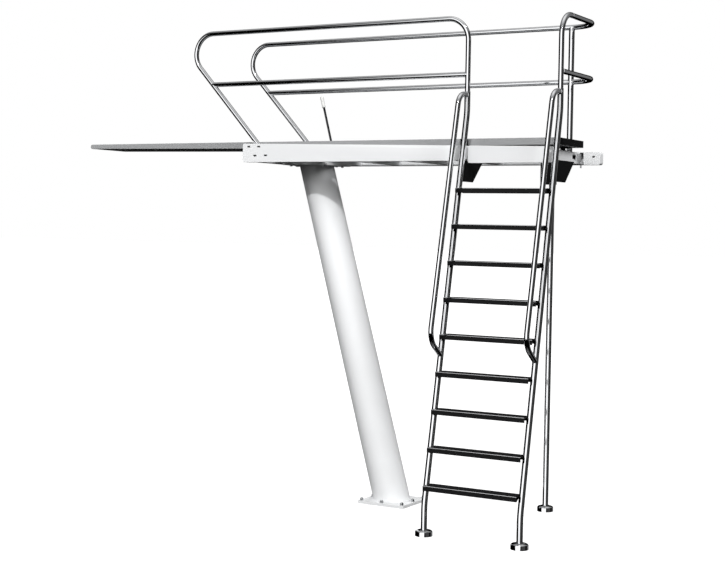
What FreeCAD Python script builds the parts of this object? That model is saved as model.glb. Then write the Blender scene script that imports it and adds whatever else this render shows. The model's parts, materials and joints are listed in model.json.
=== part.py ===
import FreeCAD, Part
import math
import os
import Sketcher

# A three-metre springboard stand: a leaning column, two channel beams with cross members, a roller
# fulcrum on tracks, a hinged board, stainless guard rails and a side ladder.
# Row frame: +X from the board's tip to the ladder, -Y the ladder side, +Z up, millimetres.
# The origin is the centre of the column's base plate, on the floor.

os.makedirs("parts", exist_ok=True)
doc = FreeCAD.newDocument("SpringboardStand")
Vec = FreeCAD.Vector
WORLD = FreeCAD.Placement()

DIMENSIONS = {
    # board
    "board_top": 3100, "board_length": 4800, "board_width": 500, "board_depth": 56,
    "tip_depth": 40, "tip_x": -3230, "taper_x": -1500, "board_skin": 5, "board_rib": 5,
    "rib_count": 7, "board_end": 45, "grip_thick": 1.5, "grip_margin": 12,
    # frame
    "beam_front": -1320, "beam_split": 862.5, "beam_rear_near": 1607, "beam_rear_far": 1675,
    "beam_face": 450, "beam_flange": 60, "beam_web": 6, "beam_bottom": 2912,
    "beam_top_front": 3075, "beam_fall": 0.0195, "beam_corner": 18, "beam_gap": 15,
    "entry_drop": 20, "end_plate_x": 1486, "closure_x": 1528,
    "cable_hole_low": 232, "cable_hole_high": 310, "cable_hole_height": 48, "bracket_near": 326,
    "cross_width": 70, "cross_height": 40, "cross_wall": 4,
    "slot_length": 36, "slot_width": 14,
    # column
    "column_foot": 312, "column_head": 296, "column_wall": 6, "head_x": -832,
    "base_size": 440, "base_thick": 25, "head_length": 460, "head_width": 420, "head_thick": 20,
    "anchor_hole": 18, "anchor_pitch": 390,
    "washer_size": 34, "nut_radius": 15.6, "nut_height": 15, "head_bolt_radius": 13, "head_bolt_height": 11,
    # rails
    "rail_side": 415, "rail_top": 4060, "rail_mid": 3605, "rail_joint": 3465, "rail_tube": 42.4,
    "rail_wall": 2, "rail_bend": 180, "plan_bend": 240, "near_foot_x": -1085, "far_foot_x": -1045,
    "rail_foot_z": 2965, "rail_rake": 47.2, "post_x": 1390,
    # ladder
    "ladder_left": 840, "ladder_right": 1640, "stringer_tube": 48.3, "stringer_wall": 2.5,
    "stringer_knee": 3300, "stringer_slope": 0.2, "stub_height": 240, "stringer_bend": 400,
    "tread_first": 354, "tread_rise": 286.85, "tread_count": 9, "tread_depth": 135,
    "tread_height": 38, "tread_sheet": 3, "tread_front": 75, "tread_grip": 2, "tread_inset": 8,
    "loop_top": 3440, "loop_reach": 147, "loop_lean": 0.222, "loop_bend": 110,
    "loop_end": 1372, "loop_return": 35, "loop_foot_bend": 150,
    # feet
    "leg_x": 1240, "flange_size": 120, "flange_thick": 10, "flange_pitch": 92, "flange_hole": 12,
    "cover_size": 135, "cover_height": 50, "cover_wall": 2, "cover_gap": 0.3,
    # fulcrum
    "fulcrum_x": -850, "roller_size": 80, "roller_length": 460, "sleeve_thick": 8,
    "axle_size": 30, "track_y": 300, "track_width": 70, "track_thick": 10,
    "track_start": -1225, "track_end": -475, "cheek_thick": 12, "cheek_length": 180,
    "shaft_size": 18, "running_gap": 0.05, "lever_y": 322, "lever_lean": 15, "rest_gap": 0.3,
    "shoe_length": 45, "shoe_height": 16, "tie_size": 22, "tie_offset": 70, "cam_width": 32, "cam_throw": 5,
    "lever_length": 560, "grip_length": 105, "grip_size": 34, "lever_size": 20,
    # hinge
    "hinge_x": 1440, "hinge_drop": 28, "hinge_pin": 16, "hinge_y": 150, "knuckle_width": 40,
    "lug_thick": 10, "knuckle_size": 36,
}


def make_sheet():
    """Write every driving dimension into the spreadsheet, one alias a row."""
    table = doc.addObject("Spreadsheet::Sheet", "Dims")
    for row, (alias, value) in enumerate(DIMENSIONS.items(), start=1):
        table.set(f"A{row}", alias)
        table.set(f"B{row}", str(value))
        table.setAlias(f"B{row}", alias)
    doc.recompute()
    return table


sheet = make_sheet()


def dim(alias):
    """A driving dimension as a plain number."""
    return float(sheet.get(alias))


def cell(alias):
    """The same dimension as an expression."""
    return f"<<Dims>>.{alias}"


CROSS_BOTTOM = dim("beam_bottom") + dim("beam_web")
CROSS_TOP = CROSS_BOTTOM + dim("cross_height")
TRACK_TOP = CROSS_TOP + dim("track_thick")
UNDERSIDE = dim("board_top") - dim("board_depth")
AXLE_Z = UNDERSIDE - dim("rest_gap") - dim("roller_size") / 2
HINGE_Z = UNDERSIDE - dim("hinge_drop")
FOOT_Y = -dim("rail_side") - dim("stringer_slope") * (dim("stringer_knee") - dim("stub_height"))
STRINGER_TILT = math.degrees(math.atan(dim("stringer_slope")))
STRINGERS = (dim("ladder_left"), dim("ladder_right"))
CROSS_PLACES = {
    "front_cross_member": (-1262,),
    "column_cross_members": (-1000, -664),
    "middle_cross_members": (-250, 250, 745),
    "hinge_cross_member": (1440,),
}


def stringer_y(height):
    """Where a stringer's centre line is at a height on its sloping run."""
    return -dim("rail_side") - dim("stringer_slope") * (dim("stringer_knee") - height)


def beam_top(x):
    """The beams' top edge falls slightly towards the ladder."""
    return dim("beam_top_front") - dim("beam_fall") * (x - dim("beam_front"))


# ---------------------------------------------------------------- helpers

PARTS = []


def keep(item, label, placement=WORLD):
    """Name an object as a sub-part, place it and list it for export."""
    item.Label = label
    item.Placement = placement
    PARTS.append(item)
    return item


def at(x=0, y=0, z=0, axis=Vec(0, 0, 1), angle=0):
    return FreeCAD.Placement(Vec(x, y, z), FreeCAD.Rotation(axis, angle))


def bind(item, **sizes):
    """Bind each named property of an object to an expression."""
    for name, expression in sizes.items():
        item.setExpression(name, expression)
    return item


def block(name, low, high):
    """A plain box between two corners."""
    box = doc.addObject("Part::Box", name)
    box.Length, box.Width, box.Height = (b - a for a, b in zip(low, high))
    box.Placement = at(*low)
    return box


def rod(name, diameter, length, place):
    """A solid round bar along its own Z, its diameter an expression."""
    bar = doc.addObject("Part::Cylinder", name)
    bind(bar, Radius=f"({diameter}) / 2")
    bar.Height = length
    bar.Placement = place
    return bar


def hexagon(name, radius, height, place):
    """A hexagonal prism, its corner radius and height bound to the sheet."""
    prism = doc.addObject("Part::Prism", name)
    prism.Polygon = 6
    bind(prism, Circumradius=cell(radius), Height=cell(height))
    prism.Placement = place
    return prism


def fuse(name, pieces):
    joined = doc.addObject("Part::MultiFuse", name)
    joined.Shapes = pieces
    joined.Refine = True
    return joined


def cut(name, base, tools):
    """Take one or more tools out of a base."""
    tool = tools[0]
    if len(tools) > 1:
        tool = fuse(name + "_tools", tools)
    result = doc.addObject("Part::Cut", name)
    result.Base = base
    result.Tool = tool
    return result


def group(name, pieces):
    """Several separate solids kept as one sub-part."""
    doc.recompute()
    together = doc.addObject("Part::Compound", name)
    together.Links = pieces
    return together


def along(start, end):
    """A placement whose Z runs from one point to another."""
    return FreeCAD.Placement(start, FreeCAD.Rotation(Vec(0, 0, 1), end - start))


def plane_of(body, role):
    return next(item for item in body.Origin.OriginFeatures if item.Role == role)


def new_sketch(body, name, role):
    sketch = body.newObject("Sketcher::SketchObject", name)
    sketch.AttachmentSupport = (plane_of(body, role), [""])
    sketch.MapMode = "FlatFace"
    return sketch


def rounded_path(corners, radii):
    """Straight runs joined by tangent arcs, and whether each arc turns left."""
    points = [Vec(x, y, 0) for x, y in corners]
    segments = []
    lefts = []
    start = points[0]
    for before, corner, after, radius in zip(points, points[1:], points[2:], radii):
        back = (before - corner).normalize()
        ahead = (after - corner).normalize()
        half = back.getAngle(ahead) / 2
        reach = radius / math.tan(half)
        centre = corner + (back + ahead).normalize() * (radius / math.sin(half))
        middle = centre + (corner - centre).normalize() * radius
        segments.append(Part.LineSegment(start, corner + back * reach))
        segments.append(Part.Arc(corner + back * reach, middle, corner + ahead * reach))
        lefts.append(back.cross(ahead).z < 0)
        start = corner + ahead * reach
    segments.append(Part.LineSegment(start, points[-1]))
    return segments, lefts


def bent_tube(name, role, corners, radii, tube, wall):
    """A round tube bent in one plane: a path sketch, a ring sketch and a pipe along the path.

    radii holds the alias of each corner's centre-line radius.
    """
    body = doc.addObject("PartDesign::Body", name)
    path = new_sketch(body, name + "_path", role)
    segments, lefts = rounded_path(corners, [dim(alias) for alias in radii])
    for segment in segments:
        path.addGeometry(segment, False)
    for index, (left, alias) in enumerate(zip(lefts, radii)):
        arc = 2 * index + 1
        near_end, far_end = (1, 2) if left else (2, 1)
        path.addConstraint(Sketcher.Constraint("Tangent", arc - 1, 2, arc, near_end))
        path.addConstraint(Sketcher.Constraint("Tangent", arc, far_end, arc + 1, 1))
        number = path.addConstraint(Sketcher.Constraint("Radius", arc, dim(alias)))
        path.setExpression(f"Constraints[{number}]", cell(alias))
    doc.recompute()
    ring = body.newObject("Sketcher::SketchObject", name + "_ring")
    ring.AttachmentSupport = [(path, "Edge1")]
    ring.MapMode = "NormalToEdge"
    outer = f"{cell(tube)} / 2"
    for index, radius in enumerate((outer, f"{outer} - {cell(wall)}")):
        size = dim(tube) / 2 - index * dim(wall)
        ring.addGeometry(Part.Circle(Vec(0, 0, 0), Vec(0, 0, 1), size), False)
        ring.addConstraint(Sketcher.Constraint("Coincident", index, 3, -1, 1))
        number = ring.addConstraint(Sketcher.Constraint("Radius", index, size))
        ring.setExpression(f"Constraints[{number}]", radius)
    doc.recompute()
    pipe = body.newObject("PartDesign::AdditivePipe", name + "_pipe")
    pipe.Profile = ring
    pipe.Spine = (path, [f"Edge{index + 1}" for index in range(len(segments))])
    doc.recompute()
    return body


def straight_tube(name, start, end, tube, wall):
    """A straight tube between two points, both sizes bound to the sheet."""
    place = along(start, end)
    length = (end - start).Length
    outer = rod(name + "_outer", cell(tube), length, place)
    inner = rod(name + "_inner", f"{cell(tube)} - 2 * {cell(wall)}", length, place)
    return cut(name, outer, [inner])


def outline(sketch, corners, radius=0):
    """A closed polygon in a sketch, its corners rounded when a radius is given."""
    points = [Vec(x, y, 0) for x, y in corners]
    edges = []
    count = len(points)
    joints = []
    for index, corner in enumerate(points):
        back = (points[index - 1] - corner).normalize()
        ahead = (points[(index + 1) % count] - corner).normalize()
        half = back.getAngle(ahead) / 2
        reach = radius / math.tan(half)
        joints.append((corner + back * reach, corner, corner + ahead * reach, half, back, ahead))
    for index, (enter, corner, leave, half, back, ahead) in enumerate(joints):
        if radius:
            centre = corner + (back + ahead).normalize() * (radius / math.sin(half))
            middle = centre + (corner - centre).normalize() * radius
            edges.append(Part.Arc(enter, middle, leave))
        edges.append(Part.LineSegment(leave, joints[(index + 1) % count][0]))
    for edge in edges:
        sketch.addGeometry(edge, False)


def pad(body, sketch, length, reverse=False, both=False):
    """Pad a sketch to a length given as an expression."""
    feature = body.newObject("PartDesign::Pad", sketch.Name + "_pad")
    feature.Profile = sketch
    bind(feature, Length=length)
    feature.Reversed = reverse
    feature.Midplane = both
    doc.recompute()
    return feature


def pocket(body, sketch, depth, reverse=False, both=False):
    """Pocket a sketch to a depth given as an expression, and insist that it cuts."""
    before = body.Shape.Volume
    feature = body.newObject("PartDesign::Pocket", sketch.Name + "_pocket")
    feature.Profile = sketch
    bind(feature, Length=depth)
    feature.Reversed = reverse
    feature.Midplane = both
    doc.recompute()
    if body.Shape.Volume >= before - 1:
        raise ValueError(f"{feature.Name} cuts nothing")
    return feature


def plate(name, role, corners, thick, radius=0, holes=(), both=False):
    """A flat plate padded from a sketch outline, with round holes (x, y, diameter alias)."""
    body = doc.addObject("PartDesign::Body", name)
    face = new_sketch(body, name + "_face", role)
    outline(face, corners, radius)
    for x, y, alias in holes:
        number = face.addGeometry(Part.Circle(Vec(x, y, 0), Vec(0, 0, 1), dim(alias) / 2), False)
        limit = face.addConstraint(Sketcher.Constraint("Radius", number, dim(alias) / 2))
        face.setExpression(f"Constraints[{limit}]", f"{cell(alias)} / 2")
    pad(body, face, thick, both=both)
    return body


def rectangle(half_x, half_y):
    return [(-half_x, -half_y), (half_x, -half_y), (half_x, half_y), (-half_x, half_y)]


# ---------------------------------------------------------------- column and base

def build_base():
    """Square base plate with eight anchor holes, and a washer and nut over each hole."""
    half = dim("base_size") / 2
    pitch = dim("anchor_pitch") / 2
    steps = (-pitch, 0, pitch)
    spots = [(x, y) for x in steps for y in steps if (x, y) != (0, 0)]
    holes = [(x, y, "anchor_hole") for x, y in spots]
    keep(plate("base_plate", "XY_Plane", rectangle(half, half), cell("base_thick"), 12, holes),
         "base_plate")
    nuts = []
    for index, (x, y) in enumerate(spots):
        level = dim("base_thick")
        washer = rod(f"washer_{index}", cell("washer_size"), 3, at(x, y, level))
        nut = hexagon(f"nut_{index}", "nut_radius", "nut_height", at(x, y, level + 3))
        bore = rod(f"nut_bore_{index}", cell("anchor_hole"), 30, at(x, y, level - 5))
        nuts.append(cut(f"anchor_nut_{index}", fuse(f"nut_blank_{index}", [washer, nut]), [bore]))
    keep(group("anchor_nuts", nuts), "anchor_nuts")


def cone_along(name, foot, head, top_point, shrink):
    """A leaning cone from the origin, longer than the column at both ends, to be trimmed level."""
    axis = Vec(top_point).normalize()
    length = top_point.Length
    over = 200
    slope = (head - foot) / length
    cone = doc.addObject("Part::Cone", name)
    cone.Radius1 = (foot - slope * over) / 2 - shrink
    cone.Radius2 = (head + slope * over) / 2 - shrink
    cone.Height = length + 2 * over
    cone.Placement = along(axis * -over, top_point)
    return cone


def build_column():
    """Tapered tube leaning towards the tip, trimmed level between base plate and head plate."""
    head_bottom = CROSS_BOTTOM - dim("head_thick")
    top = Vec(dim("head_x"), 0, head_bottom)
    sizes = (dim("column_foot"), dim("column_head"))
    outer = cone_along("column_outer", *sizes, top, 0)
    inner = cone_along("column_inner", *sizes, top, dim("column_wall"))
    slab = block("column_span", (-1400, -400, dim("base_thick")), (600, 400, head_bottom))
    level = doc.addObject("Part::Common", "column_level")
    level.Base = outer
    level.Tool = slab
    keep(cut("column", level, [inner]), "column")

    half = (dim("head_length") / 2, dim("head_width") / 2)
    keep(plate("column_head_plate", "XY_Plane", rectangle(*half), cell("head_thick"), 15),
         "column_head_plate", at(dim("head_x"), 0, head_bottom))
    bolts = []
    for x in CROSS_PLACES["column_cross_members"]:
        for y in (-160, -60, 60, 160):
            place = at(x, y, head_bottom - dim("head_bolt_height"))
            bolts.append(hexagon(f"head_bolt_{int(x)}_{y}", "head_bolt_radius", "head_bolt_height", place))
    keep(group("column_head_bolts", bolts), "column_head_bolts")


# ---------------------------------------------------------------- beams and cross members

def slots(body, spots, name, reverse):
    """Cut slotted holes, long axis along X, through a beam's web."""
    cutter = new_sketch(body, name, "XZ_Plane")
    straight = (dim("slot_length") - dim("slot_width")) / 2
    half = dim("slot_width") / 2
    for x, z in spots:
        ends = ((x - straight, 1), (x + straight, -1))
        for end_x, side in ends:
            top, bottom = Vec(end_x, z + half * side, 0), Vec(end_x, z - half * side, 0)
            cutter.addGeometry(Part.Arc(top, Vec(end_x - half * side, z, 0), bottom), False)
        for side in (-half, half):
            line = Part.LineSegment(Vec(x - straight, z + side, 0), Vec(x + straight, z + side, 0))
            cutter.addGeometry(line, False)
    pocket(body, cutter, cell("beam_face"), reverse=reverse)


def channel_beam(name, start, end, side, spots, low, tools, welded=()):
    """A pressed channel: a padded side profile hollowed from the inside. side is -1 near, 1 far."""
    body = doc.addObject("PartDesign::Body", name + "_channel")
    face = new_sketch(body, name + "_side", "XZ_Plane")
    corners = [(start, low), (end, low), (end, beam_top(end)), (start, beam_top(start))]
    outline(face, corners, dim("beam_corner"))
    pad(body, face, cell("beam_flange"), reverse=side > 0)
    web = dim("beam_web")
    inside = new_sketch(body, name + "_inside", "XZ_Plane")
    corners = [(start + web, low + web), (end - web, low + web),
               (end - web, beam_top(end) - web), (start + web, beam_top(start) - web)]
    outline(inside, corners, dim("beam_corner") - web)
    pocket(body, inside, f"{cell('beam_flange')} - {cell('beam_web')}", reverse=side < 0)
    slots(body, spots, name + "_slots", side < 0)
    place = at(0, side * (dim("beam_face") - dim("beam_flange")), 0)
    if not tools:
        return keep(body, name, place)
    body.Placement = place
    blank = fuse(name + "_blank", [body, *welded]) if welded else body
    return keep(cut(name, blank, tools), name)


FRONT_SLOTS = [(-1258, 3047), (-1154, 3046), (-1192, 2969), (-1081, 2970)]
NEAR_REAR_SLOT = [(1572, 2979)]
FAR_REAR_SLOT = [(1620, 2979)]


def rake_hole(name, side):
    """Clearance for a raked rail tube through a beam's top flange."""
    low, high = dim("beam_top_front") - 60, dim("beam_top_front") + 60
    start, end = rake_point(side, low), rake_point(side, high)
    return rod(name, f"{cell('rail_tube')} + 1", (end - start).Length, along(start, end))


def build_beams():
    gap = dim("beam_gap") / 2
    front, side, low = dim("beam_front"), dim("rail_side"), dim("beam_bottom")
    left = dim("ladder_left")
    post = dim("post_x")
    near_tools = [rake_hole("near_rake_hole", -1), stringer_tool("near_beam_cope", left, 2800, 3200)]
    channel_beam("near_beam", front, dim("beam_split") - gap, -1, FRONT_SLOTS, low, near_tools)
    channel_beam("near_entry_beam", dim("beam_split") + gap, dim("beam_rear_near"), -1, NEAR_REAR_SLOT,
                 low - dim("entry_drop"), [])
    post_hole = rod("post_hole", f"{cell('stringer_tube')} + 1", 200, at(post, side, low + 60))
    far_tools = [rake_hole("far_rake_hole", 1), post_hole]
    channel_beam("far_beam", front, dim("beam_rear_far"), 1, FRONT_SLOTS + FAR_REAR_SLOT, low, far_tools,
                 [beam_closure()])


def beam_closure():
    """Plate that boxes in the far beam's rear end, with the same slot as the beam."""
    start, end = dim("closure_x"), dim("beam_rear_far")
    low = dim("beam_bottom")
    body = doc.addObject("PartDesign::Body", "far_beam_closure")
    face = new_sketch(body, "closure_face", "XZ_Plane")
    outline(face, [(start, low), (end, low), (end, beam_top(end)), (start, beam_top(start))],
            dim("beam_corner"))
    pad(body, face, cell("beam_web"))
    slots(body, FAR_REAR_SLOT, "closure_slot", True)
    body.Placement = at(0, dim("beam_face") - dim("beam_flange"), 0)
    return body


def cross_member(name, x):
    """A rectangular hollow section between the two beam webs."""
    reach = dim("beam_face") - dim("beam_web")
    half = dim("cross_width") / 2
    wall = dim("cross_wall")
    outer = block(name + "_outer", (x - half, -reach, CROSS_BOTTOM), (x + half, reach, CROSS_TOP))
    inner = block(name + "_inner", (x - half + wall, -reach, CROSS_BOTTOM + wall),
                  (x + half - wall, reach, CROSS_TOP - wall))
    return cut(name, outer, [inner])


def build_cross_members():
    for label, places in CROSS_PLACES.items():
        members = [cross_member(f"{label}_{index}", x) for index, x in enumerate(places)]
        keep(members[0] if len(members) == 1 else group(label, members), label)
    rear_plate()
    rear_bracket()


def rear_plate():
    """White end plate between the beams behind the hinge, with a square cable hole."""
    reach = dim("beam_face") - dim("beam_web")
    x = dim("end_plate_x")
    low, high = CROSS_BOTTOM, beam_top(x) - dim("beam_web") - 1
    middle = (low + high) / 2
    body = doc.addObject("PartDesign::Body", "rear_end_plate")
    face = new_sketch(body, "rear_end_plate_face", "YZ_Plane")
    outline(face, [(-reach, low), (reach, low), (reach, high), (-reach, high)])
    hole_low, hole_high, half = dim("cable_hole_low"), dim("cable_hole_high"), dim("cable_hole_height") / 2
    outline(face, [(hole_low, middle - half), (hole_high, middle - half),
                   (hole_high, middle + half), (hole_low, middle + half)])
    pad(body, face, cell("beam_web"))
    keep(body, "rear_end_plate", at(x, 0, 0))


def rear_bracket():
    """Grey angle at the far corner of the end plate, with the frame's levelling bolt."""
    x = dim("end_plate_x") + dim("beam_web")
    reach = dim("beam_face") - dim("beam_web")
    near = dim("bracket_near")
    upright = block("bracket_upright", (x, near, CROSS_BOTTOM), (x + 6, reach, CROSS_BOTTOM + 85))
    foot = block("bracket_foot", (x, near, CROSS_BOTTOM), (x + 34, reach, CROSS_BOTTOM + 6))
    bolt = rod("bracket_bolt", "14", 62, at(x + 24, 360, CROSS_BOTTOM - 34))
    keep(fuse("rear_corner_bracket", [upright, foot, bolt]), "rear_corner_bracket")


# ---------------------------------------------------------------- guard rails

def rake_point(side, height):
    """A raked front tube's centre line at a height. side is -1 near, 1 far."""
    foot = dim("near_foot_x") if side < 0 else dim("far_foot_x")
    rise = height - dim("rail_foot_z")
    return Vec(foot - rise / math.tan(math.radians(dim("rail_rake"))), side * dim("rail_side"), height)


def full_rod(name, start, end, alias="rail_tube"):
    """A solid bar of a tube's outer size, used to cope a neighbour's end."""
    return rod(name, cell(alias), (end - start).Length, along(start, end))


def build_guard_rails():
    side, top, mid, joint = dim("rail_side"), dim("rail_top"), dim("rail_mid"), dim("rail_joint")
    foot_z = dim("rail_foot_z")
    left, right = STRINGERS
    post = dim("post_x")

    near = [(rake_point(-1, z).x, z) for z in (foot_z, top)] + [(left, top), (left, joint)]
    keep(bent_tube("near_guard_rail", "XZ_Plane", near, ["rail_bend"] * 2, "rail_tube", "rail_wall"),
         "near_guard_rail", at(0, -side, 0))
    far = [(rake_point(1, z).x, z) for z in (foot_z, top)] + [(post, top)]
    keep(bent_tube("far_guard_rail", "XZ_Plane", far, ["rail_bend"], "rail_tube", "rail_wall"),
         "far_guard_rail", at(0, side, 0))
    turn_y = -side + dim("rail_bend") + 20
    wrap = [(post, side), (right, side), (right, turn_y)]
    keep(bent_tube("rear_top_rail", "XY_Plane", wrap, ["plan_bend"], "rail_tube", "rail_wall"),
         "rear_top_rail", at(0, 0, top))
    upright = [(turn_y, top), (-side, top), (-side, joint)]
    keep(bent_tube("rear_upright", "YZ_Plane", upright, ["rail_bend"], "rail_tube", "rail_wall"),
         "rear_upright", at(right, 0, 0))

    rakes = {}
    for word, number in (("near", -1), ("far", 1)):
        rakes[word] = full_rod(f"{word}_rake_tool", rake_point(number, mid - 300),
                               rake_point(number, mid + 300))
    near_mid = straight_tube("near_mid_blank", rake_point(-1, mid), Vec(left, -side, mid),
                             "rail_tube", "rail_wall")
    left_tool = full_rod("near_upright_tool", Vec(left, -side, joint), Vec(left, -side, top - 200))
    keep(cut("near_mid_rail", near_mid, [rakes["near"], left_tool]), "near_mid_rail")

    far_path = [(rake_point(1, mid).x, side), (right, side), (right, -side)]
    far_mid = bent_tube("far_mid_blank", "XY_Plane", far_path, ["plan_bend"], "rail_tube", "rail_wall")
    far_mid.Placement = at(0, 0, mid)
    right_tool = full_rod("rear_upright_tool", Vec(right, -side, joint), Vec(right, -side, top - 200))
    post_line = (Vec(post, side, foot_z), Vec(post, side, top))
    post_tool = full_rod("post_tool", *post_line, "stringer_tube")
    keep(cut("far_mid_rail", far_mid, [rakes["far"], right_tool, post_tool]), "far_mid_rail")
    post_blank = straight_tube("far_post_blank", *post_line, "stringer_tube", "stringer_wall")
    over = full_rod("post_top_tool", Vec(post - 200, side, top), Vec(post + 200, side, top))
    keep(cut("far_post", post_blank, [over]), "far_post")


def build_rail_feet():
    """Plates inside the beams that the raked tubes and the post are welded to, and their screws."""
    tube_side = dim("rail_side") + dim("rail_tube") / 2
    post_side = dim("rail_side") + dim("stringer_tube") / 2
    inside = dim("beam_face") - dim("beam_web")
    feet = []
    screws = []
    for side in (-1, 1):
        low, high = sorted((side * tube_side, side * inside))
        word = "near" if side < 0 else "far"
        end = rake_point(side, dim("rail_foot_z")).x + 45
        feet.append(block(f"{word}_rail_foot", (-1295, low, CROSS_TOP + 1), (end, high, 3060)))
        for index, (x, z) in enumerate(FRONT_SLOTS):
            start = Vec(x, side * inside, z)
            end = Vec(x, side * (inside + 4), z)
            screws.append(rod(f"{word}_foot_screw_{index}", "13", 4, along(start, end)))
    post = dim("post_x")
    feet.append(block("post_foot", (post - 60, post_side, CROSS_TOP + 1), (post + 60, inside, 3010)))
    keep(group("rail_foot_plates", feet), "rail_foot_plates")
    keep(group("rail_foot_screws", screws), "rail_foot_screws")


# ---------------------------------------------------------------- ladder

def stringer_tool(name, x, low, high):
    """The outer shape of a stringer's sloping run between two heights."""
    return full_rod(name, Vec(x, stringer_y(low), low), Vec(x, stringer_y(high), high), "stringer_tube")


def build_stringers():
    side = dim("rail_side")
    path = [(-side, dim("rail_joint")), (-side, dim("stringer_knee")), (FOOT_Y, dim("stub_height")),
            (FOOT_Y, dim("flange_thick"))]
    for word, x in zip(("left", "right"), STRINGERS):
        name = f"ladder_stringer_{word}"
        tube = bent_tube(name, "YZ_Plane", path, ["stringer_bend"] * 2, "stringer_tube", "stringer_wall")
        keep(tube, name, at(x, 0, 0))


def build_loops():
    """Handrail loops: out from the stringer's head, down beside it and curled back in."""
    side, top = dim("rail_side"), dim("loop_top")
    end_z = dim("loop_end")
    end_y = stringer_y(end_z)
    reach_y = -side - dim("loop_reach")
    fall = math.radians(dim("loop_return"))
    lean = dim("loop_lean")
    run = (end_y - reach_y + lean * (top - end_z)) / (math.cos(fall) + lean * math.sin(fall))
    knee = (end_y - run * math.cos(fall), end_z + run * math.sin(fall))
    path = [(-side, top), (reach_y, top), knee, (end_y, end_z)]
    for word, x in zip(("left", "right"), STRINGERS):
        name = f"handrail_loop_{word}"
        blank = bent_tube(name + "_blank", "YZ_Plane", path, ["loop_bend", "loop_foot_bend"],
                          "rail_tube", "rail_wall")
        blank.Placement = at(x, 0, 0)
        upper = full_rod(name + "_upper", Vec(x, -side, top - 90), Vec(x, -side, dim("rail_joint")),
                         "stringer_tube")
        lower = stringer_tool(name + "_lower", x, end_z - 150, end_z + 150)
        keep(cut(name, blank, [upper, lower]), name)


def tread_tray(name, bottom):
    """A folded tray tread: top sheet and turned-down edges, its ends coped to the stringers."""
    left = dim("ladder_left") + dim("tread_inset")
    right = dim("ladder_right") - dim("tread_inset")
    sheet_thick, height = dim("tread_sheet"), dim("tread_height")
    front = stringer_y(bottom) - dim("tread_front")
    rear = front + dim("tread_depth")
    outer = block(name + "_outer", (left, front, bottom), (right, rear, bottom + height))
    inner = block(name + "_inner", (left, front + sheet_thick, bottom),
                  (right, rear - sheet_thick, bottom + height - sheet_thick))
    tools = [inner]
    for word, x in zip(("left", "right"), STRINGERS):
        tools.append(stringer_tool(f"{name}_{word}", x, bottom - 90, bottom + 130))
    return cut(name, outer, tools), front, rear


def build_treads():
    left, right = STRINGERS
    clear = dim("stringer_tube") / 2 + 6
    grips = []
    for number in range(1, int(dim("tread_count")) + 1):
        bottom = dim("tread_first") + dim("tread_rise") * (number - 1)
        name = f"tread_{number}"
        tray, front, rear = tread_tray(name, bottom)
        keep(tray, name)
        top = bottom + dim("tread_height")
        grips.append(block(f"tread_grip_{number}", (left + clear, front + 4, top),
                           (right - clear, rear - 4, top + dim("tread_grip"))))
    keep(group("tread_grips", grips), "tread_grips")


def build_ladder_brackets():
    """Black gussets that carry the stringers from under the frame, and one plate beside the right one."""
    low = dim("beam_bottom") - 170
    high = dim("beam_bottom")
    outer = stringer_y(low) + 5
    gussets = []
    for word, x in zip(("left", "right"), STRINGERS):
        name = f"ladder_gusset_{word}"
        corners = [(outer, low), (-290, low), (-110, high), (stringer_y(high), high)]
        blank = plate(name + "_blank", "YZ_Plane", corners, "10", both=True)
        blank.Placement = at(x, 0, 0)
        tool = stringer_tool(name + "_tool", x, low - 100, high + 100)
        gussets.append(cut(name, blank, [tool]))
    keep(group("ladder_gussets", gussets), "ladder_gussets")
    face = -dim("beam_face")
    edge = dim("ladder_right") - 5
    corner = (edge - 135, face, low - 22)
    keep(block("ladder_side_plate", corner, (edge, face + 8, high - dim("entry_drop"))),
         "ladder_side_plate", at(*corner))


# ---------------------------------------------------------------- feet, leg and covers

def foot_places():
    left, right = STRINGERS
    return {"left": (left, FOOT_Y), "right": (right, FOOT_Y), "leg": (dim("leg_x"), dim("rail_side"))}


def build_leg():
    """Straight tube under the far beam, with a flat cap welded on its top."""
    x, y = foot_places()["leg"]
    cap = 10
    level = dim("beam_bottom") - cap
    tube = straight_tube("leg_tube", Vec(x, y, dim("flange_thick")), Vec(x, y, level),
                         "stringer_tube", "stringer_wall")
    top = block("leg_cap", (x - 60, y - 30, level), (x + 60, y + 30, level + cap))
    keep(group("rear_leg", [tube, top]), "rear_leg")


def foot_flange(word, x, y):
    """A round floor flange with four screw holes, welded under a tube."""
    name = f"foot_flange_{word}"
    half = dim("flange_pitch") / 2
    disc = rod(name + "_disc", cell("flange_size"), dim("flange_thick"), at(x, y, 0))
    holes = []
    for number in range(4):
        angle = math.radians(45 + 90 * number)
        spot = at(x + half * math.cos(angle), y + half * math.sin(angle), -5)
        holes.append(rod(f"{name}_hole_{number}", cell("flange_hole"), dim("flange_thick") + 10, spot))
    return cut(name, disc, holes)


def foot_cover(word, x, y):
    """A loose round cover over a floor flange: a turned shell that slides up its tube."""
    name = f"flange_cover_{word}"
    body = doc.addObject("PartDesign::Body", name)
    profile = new_sketch(body, name + "_profile", "XZ_Plane")
    outer, height, wall = dim("cover_size") / 2, dim("cover_height"), dim("cover_wall")
    bore = dim("stringer_tube") / 2 + dim("cover_gap")
    low = 0.3
    round_over = 14
    neck = bore + 4
    outside = [(outer, low), (outer, height - round_over), (outer - round_over, height - 4),
               (neck, height), (bore, height)]
    inside = [(bore, height - wall - 2), (outer - round_over, height - 4 - wall),
              (outer - wall, height - round_over - 1), (outer - wall, low)]
    outline(profile, outside + inside)
    turned = body.newObject("PartDesign::Revolution", name + "_turned")
    turned.Profile = profile
    turned.ReferenceAxis = (profile, ["V_Axis"])
    turned.Angle = 360
    doc.recompute()
    keep(body, name, at(x, y, 0))


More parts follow.
